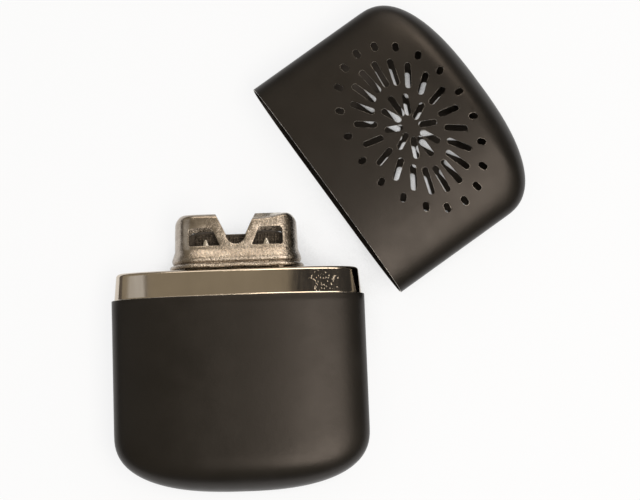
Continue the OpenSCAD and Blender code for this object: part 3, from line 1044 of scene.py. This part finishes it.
def tongue(name):
    """A pointed tongue that stands at the origin, with a crease along its middle."""
    bpy.ops.mesh.primitive_cube_add(size=1, location=(0, tongue_h / 2, 0))
    made = bpy.context.object
    made.name = made.data.name = name
    made.scale = (TONGUE_W, tongue_h, TONGUE_T)
    settle(made)
    with editing(made):
        bpy.ops.mesh.select_all(action="SELECT")
        bpy.ops.mesh.bisect(plane_co=(0, 0, 0), plane_no=(1, 0, 0))
        pick(made, "VERT", lambda point: point.co.y > tongue_h / 2)
        bpy.ops.transform.resize(
            value=(TONGUE_TIP / TONGUE_W, 1, TIP_THINNING), center_override=(0, tongue_h, 0)
        )
        pick(made, "VERT", lambda point: abs(point.co.x) > SAME)
        bpy.ops.transform.translate(value=(0, 0, -TONGUE_CREASE))
        bpy.ops.mesh.select_all(action="SELECT")
        bpy.ops.mesh.bevel(offset=TONGUE_EDGE, segments=1, affect="EDGES")
    return close_up(made, FINE_GAP)


bent_tongue = tongue("bent_tongue")
# Each tongue gets the lighter steel, whose colour is a painted highlight.
for face, z in (("front", tongue_high.z - TONGUE_IN), ("rear", tongue_low.z + TONGUE_IN)):
    for k in range(TONGUE_COUNT):
        made = copy_of(bent_tongue, f"{face}_tongue_{k + 1}")
        x = (k / (TONGUE_COUNT - 1) - 0.5) * tongue_span
        turn = Matrix.Rotation(0 if face == "front" else pi, 4, "Y")
        made.data.transform(Matrix.Translation((x, tongue_low.y, z)) @ turn)
        smooth(made, 20)
        dress(made, "burner", painted_highlight_steel, "pad_tongues")
bpy.data.objects.remove(bent_tongue)

# %% [markdown]
# ## Fillings
# The catalyst pad, the felt and the cotton are soft. Each starts as a plain form of the right
# size, is rounded and divided, and gets its lumps from a procedural clouds texture through
# Displace. They start a little small, so that no lump reaches what lies round them.

# %% Lumps and a soft oblong
def lump(piece, name, size, height):
    """Moves the skin in and out by clouds of this size, by up to height in all."""
    clouds = bpy.data.textures.new(name, "CLOUDS")
    clouds.noise_scale = size
    apply_modifier(
        piece, name, "DISPLACE", texture=clouds, texture_coords="LOCAL", strength=height, mid_level=0.5
    )
    return piece


ROUNDS_IN_DEPTH = 7
OFF_AXIS = 0.01 * MM


def soft_oblong(name, low, high, shrink, cell):
    """A soft oblong with round ends inside the box from low to high, made of square cells."""
    width, _, depth = high - low - 2 * Vector((shrink, shrink, shrink))
    round_r = depth / ROUNDS_IN_DEPTH
    outline = [(-depth / 2 + OFF_AXIS, low.y + shrink)]
    outline += arc(-round_r, low.y + shrink + round_r, round_r, -90, 0, 4)
    outline += arc(-round_r, high.y - shrink - round_r, round_r, 0, 90, 4)
    outline += [(-depth / 2 + OFF_AXIS, high.y - shrink)]
    soft = sweep_oblong(name, outline, width, depth)
    apply_modifier(soft, "cells", "REMESH", mode="VOXEL", voxel_size=cell)
    return soft


# %% [markdown]
# The glass wool stands up a little behind each window, where nothing presses on it.

# %% Catalyst pad
PUFF = 0.9 * MM
PUFF_AT = 7.6 * MM
PUFF_HALF_W = 5 * MM
pad = soft_oblong("catalyst_wool_pad", pad_low, pad_high, shrink=0.1 * MM, cell=0.16 * MM)
for point in pad.data.vertices:
    near = max(0, 1 - ((abs(point.co.x) - PUFF_AT) / PUFF_HALF_W) ** 2)
    high = max(0, (point.co.y - pad_low.y) / (pad_high.y - pad_low.y))
    point.co.y += PUFF * near * high
lump(pad, "pad_lumps", size=1.6 * MM, height=0.35 * MM)
lump(pad, "pad_fibres", size=0.35 * MM, height=0.2 * MM)
smooth(pad, 180)
dress(pad, "burner", catalyst_wool, "catalyst_pad")

# %% Felt pad
felt = soft_oblong("felt_strip", felt_low, felt_high, shrink=0.12 * MM, cell=0.2 * MM)
lump(felt, "felt_lumps", size=1.2 * MM, height=0.16 * MM)
smooth(felt, 180)
dress(felt, "tank", felt_fibre, "felt_pad")

# %% Cotton filling
COTTON_GAP = 0.35 * MM
COTTON_TOP_GAP = 0.3 * MM
COTTON_ROUND = 0.8 * MM
COTTON_TOP_W = 0.9
COTTON_TOP_T = 0.7
cotton_inset = TANK_WALL + COTTON_GAP
cotton_top = cotton_high.y - COTTON_TOP_GAP
all_rings = cup_rings(
    SEAM_Y, -1, HALF_W, TANK_DRAW, SEAM_Y - FOOT_Y, TANK_END_H, TANK_SIDE_H, cotton_inset
)
cotton_rings = [ring for ring in all_rings if ring[0] < cotton_top - 1 * MM]
_, first_w, first_t = cotton_rings[0]
top_ring = (cotton_top, first_w * COTTON_TOP_W, first_t * COTTON_TOP_T)
cotton_rings = [top_ring, (cotton_top - COTTON_ROUND, first_w, first_t)] + cotton_rings
cotton = oval_ring("cotton_wool", *cotton_rings[0])
with editing(cotton):
    bpy.ops.mesh.select_all(action="SELECT")
    bpy.ops.mesh.edge_face_add()
    bpy.ops.mesh.select_all(action="SELECT")
    draw_out(cotton_rings, extrude=bpy.ops.mesh.extrude_region_move)
press_land(cotton, cotton_inset)
close_up(cotton)
apply_modifier(cotton, "cells", "REMESH", mode="VOXEL", voxel_size=0.6 * MM)
lump(cotton, "cotton_lumps", size=5 * MM, height=0.4 * MM)
smooth(cotton, 180)
dress(cotton, "tank", cotton_fibre, "cotton_filling")

# %% [markdown]
# ## Cap
# The cap is drawn like the tank, from thinner sheet. It is modelled where it sits when closed and
# then turned about the joint's axis to where it lies. The vents are cut through both faces at
# once. Each slot of the sunburst is a circle whose halves are pulled apart to the slot's length,
# turned and put in its place.

# %% Cap skin
CAP_H = 49.5 * MM
CAP_END_H = 15 * MM
CAP_SIDE_H = 8 * MM
RIM_GAP = 0.15 * MM
rim_y = SEAM_Y + RIM_GAP
cap = drawn_cup("cap_sheet", cup_rings(rim_y, 1, MOUTH_W, 0, CAP_H, CAP_END_H, CAP_SIDE_H))
press_land(cap)
close_up(cap)
give_wall(cap, CAP_WALL)
print(f"cap: {1000 * CAP_H:.1f} mm tall, {len(cap.data.polygons)} faces before the vents")

# %% One vent slot
SLOT_W = 1.7 * MM
VENT_Y = 27.2 * MM
VENT_HALF_W = 24.6 * MM
VENT_HALF_H = 16 * MM
SLOT_POINTS = 24


def vent_slot(angle, start, end):
    """A slot cutter from one share of the pattern's reach to another, at this angle."""
    way = Vector((VENT_HALF_W * cos(angle), VENT_HALF_H * sin(angle), 0))
    run = (end - start) * way.length
    bpy.ops.mesh.primitive_circle_add(vertices=SLOT_POINTS, radius=SLOT_W / 2, fill_type="NGON")
    slot = bpy.context.object
    with editing(slot):
        pick(slot, "VERT", lambda point: point.co.x > SAME)
        bpy.ops.transform.translate(value=(run, 0, 0))
    turn = Matrix.Rotation(atan2(way.y, way.x), 4, "Z")
    slot.data.transform(Matrix.Translation(Vector((0, rim_y + VENT_Y, 0)) + start * way) @ turn)
    return slot


# %% Sunburst of slots
INNER_PETALS, OUTER_PETALS, DOTS = 10, 20, 20
INNER_RUN, OUTER_RUN, DOT_RUN = (0.17, 0.36), (0.53, 0.78), (0.96, 1.0)
slots = [vent_slot(2 * pi * k / INNER_PETALS, *INNER_RUN) for k in range(INNER_PETALS)]
slots += [vent_slot(2 * pi * (k + 0.5) / OUTER_PETALS, *OUTER_RUN) for k in range(OUTER_PETALS)]
slots += [vent_slot(2 * pi * k / DOTS, *DOT_RUN) for k in range(DOTS)]
only(slots[0])
for slot in slots:
    slot.select_set(True)
bpy.ops.object.join()
cut(cap, through_cutter(slots[0]))
print(f"{len(slots)} slots cut, cap now has {len(cap.data.polygons)} faces")

# %% [markdown]
# Pushing the cap on and off has bared the metal along its rim, and punching has left the slots'
# walls without a coat. The cap is shaded and dressed while it still sits where it is closed,
# because both places are easy to name there. Then it is turned back by the joint's whole range.

# %% Find the slots' walls
UPRIGHT = 0.4


def is_slot_wall(face):
    """True for the faces inside the slots, which stand upright in the pierced oval."""
    x, y, _ = face.calc_center_median()
    across = x / (VENT_HALF_W + SLOT_W)
    along = (y - rim_y - VENT_Y) / (VENT_HALF_H + SLOT_W)
    return across**2 + along**2 < 1 and abs(face.normal.z) < UPRIGHT


# %% Lay the cap aside
CAP_EDGE = 0.07 * MM
CAP_RIM_BAND = 0.05 * MM
cap_joint = next(joint for joint in frame["joints"] if joint["type"] == "hinge")
pole = Vector(cap_joint["pos_m"])
cap_turn = radians(cap_joint["range_deg"][1])
close_up(cap, gap=0.002 * MM)
round_edges(cap, CAP_EDGE)
smooth(cap)
apply_modifier(cap, "even_shading", "WEIGHTED_NORMAL", weight=80, keep_sharp=True)
turned_back = Matrix.Rotation(-cap_turn, 4, "Z")
laid_aside = Matrix.Translation(pole) @ turned_back @ Matrix.Translation(-pole)
dress(cap, "cap", cap_coat, "cap_shell")
touch_up(cap, bare_edge, lambda face: face.calc_center_median().y < rim_y + CAP_RIM_BAND)
touch_up(cap, bare_edge, is_slot_wall)
cap.data.transform(laid_aside)
print("cap laid aside by", cap_joint["range_deg"][1], "degrees about", cap_joint["name"])

# %% [markdown]
# ## Floor and light
# The photo has a white ground and one soft light. The floor is white to the camera and in
# reflections, and keeps a faint shadow, because a small share of it is a matt surface. The floor
# that shows through the cap's slots lies in the dark between two sheets, so an Ambient Occlusion
# node dims the white where the floor is shut in.

# %% Floor
WHITE_SHARE = 0.85
SHUT_IN_REACH = 30 * MM
bpy.ops.mesh.primitive_plane_add(size=4)
floor = bpy.context.object
floor.name = "floor"
ground = bpy.data.materials.new("ground")
ground.use_nodes = True
tree = ground.node_tree
tree.nodes.remove(tree.nodes["Principled BSDF"])
path = wire_up(ground, "ShaderNodeLightPath", {}).outputs
seen = combine(ground, "MAXIMUM", path["Is Camera Ray"], path["Is Glossy Ray"])
seen_too = combine(ground, "MAXIMUM", seen, path["Is Transmission Ray"])
white_share = combine(ground, "MULTIPLY", seen_too, WHITE_SHARE)
inputs = {"Distance": SHUT_IN_REACH}
opened = wire_up(ground, "ShaderNodeAmbientOcclusion", inputs, samples=8).outputs["AO"]
inputs = {"Value": opened, "From Min": 0.12, "From Max": 0.42, "To Min": 0.14}
level = wire_up(ground, "ShaderNodeMapRange", inputs).outputs["Result"]
matt = wire_up(ground, "ShaderNodeBsdfDiffuse", {"Color": (0.9, 0.9, 0.9, 1)}).outputs["BSDF"]
inputs = {"Color": (1, 1, 1, 1), "Strength": level}
white = wire_up(ground, "ShaderNodeEmission", inputs).outputs["Emission"]
inputs = {"Fac": white_share, 1: matt, 2: white}
mixed = wire_up(ground, "ShaderNodeMixShader", inputs).outputs["Shader"]
link(ground, mixed, tree.nodes["Material Output"].inputs["Surface"])
floor.data.materials.append(ground)
print("floor:", WHITE_SHARE, "of it glows white")

# %% [markdown]
# The world gives an even white light from all sides, and one warm lamp above the object gives the
# broad highlights. Its power is worked out from its area, so that its brightness stays the same
# when its size changes.

# %% World and lamp
world = bpy.data.worlds.new("studio")
bpy.context.scene.world = world
world.use_nodes = True
sky = world.node_tree.nodes["Background"]
sky.inputs["Color"].default_value = (1, 1, 1, 1)
sky.inputs["Strength"].default_value = 0.5

LAMP_PLACE = (0.37, -0.23, 0.85)
LAMP_AREA = (0.50, 0.72)
RADIANCE = 5.0
bpy.ops.object.light_add(type="AREA", location=LAMP_PLACE)
lamp = bpy.context.object
lamp.name = "window_light"
lamp.data.shape = "RECTANGLE"
lamp.data.size, lamp.data.size_y = LAMP_AREA
lamp.data.energy = RADIANCE * pi * LAMP_AREA[0] * LAMP_AREA[1]
lamp.data.color = (1, 0.92, 0.83)
print(f"lamp of {lamp.data.energy:.2f} W, {LAMP_PLACE[2]} m up")

# %% [markdown]
# Bright metal shows what stands round it. Cards that only reflections can see stand in for the
# room: a dim warm ceiling, a dark corner to the right that darkens the collar's right end, a
# light wall to the left that ends in a narrow dark gap, and four dim flags all round. A bright
# window and a long light card beyond the burner are caught by rounded edges and by the bent lip.

# %% Cards that only reflections see
def card(name, place, size, colour, turn=(0, 0, 0)):
    """A glowing card that shows only in reflections. It lies level unless it is turned."""
    bpy.ops.mesh.primitive_plane_add(size=1, location=place, rotation=turn)
    made = bpy.context.object
    made.name = name
    made.scale = (*size, 1)
    glow = bpy.data.materials.new(name)
    glow.use_nodes = True
    glow.node_tree.nodes.remove(glow.node_tree.nodes["Principled BSDF"])
    light = wire_up(glow, "ShaderNodeEmission", {"Color": (*colour, 1)}).outputs["Emission"]
    link(glow, light, glow.node_tree.nodes["Material Output"].inputs["Surface"])
    made.data.materials.append(glow)
    made.visible_camera = made.visible_diffuse = made.visible_shadow = False
    made.visible_transmission = made.visible_volume_scatter = False


FLAG_COLOUR = (0.13, 0.115, 0.1)
FLAG_AT = 2.6
FLAG_Z = 0.5
card("ceiling_card", (0, 0, 1.0), (6, 6), (0.31, 0.27, 0.205))
card("dark_corner", (0.89, 0.81, 0.88), (1.52, 1.30), (0.04, 0.038, 0.036))
card("light_wall", (-1.75, 0.28, 0.86), (2.56, 0.24), (0.60, 0.59, 0.57))
card("dark_gap", (-0.44, 0.27, 0.84), (0.035, 0.30), (0.12, 0.10, 0.08))
card("back_window", (0.27, 0.60, 0.70), (0.54, 0.26), (5.5, 4.8, 4.0))
card("lip_light", (0.15, 1.52, 0.70), (0.90, 1.56), (1.7, 1.55, 1.36))
for side in (-1, 1):
    card(f"flag_x{side}", (FLAG_AT * side, 0, FLAG_Z), (1.0, 6), FLAG_COLOUR, turn=(0, pi / 2, 0))
    card(f"flag_y{side}", (0, FLAG_AT * side, FLAG_Z), (6, 1.0), FLAG_COLOUR, turn=(pi / 2, 0, 0))
print("cards ready")

# %% [markdown]
# ## Look
# The Standard view shows colours as they are written.

# %% View and finish
scene = bpy.context.scene
scene.view_settings.view_transform = "Standard"
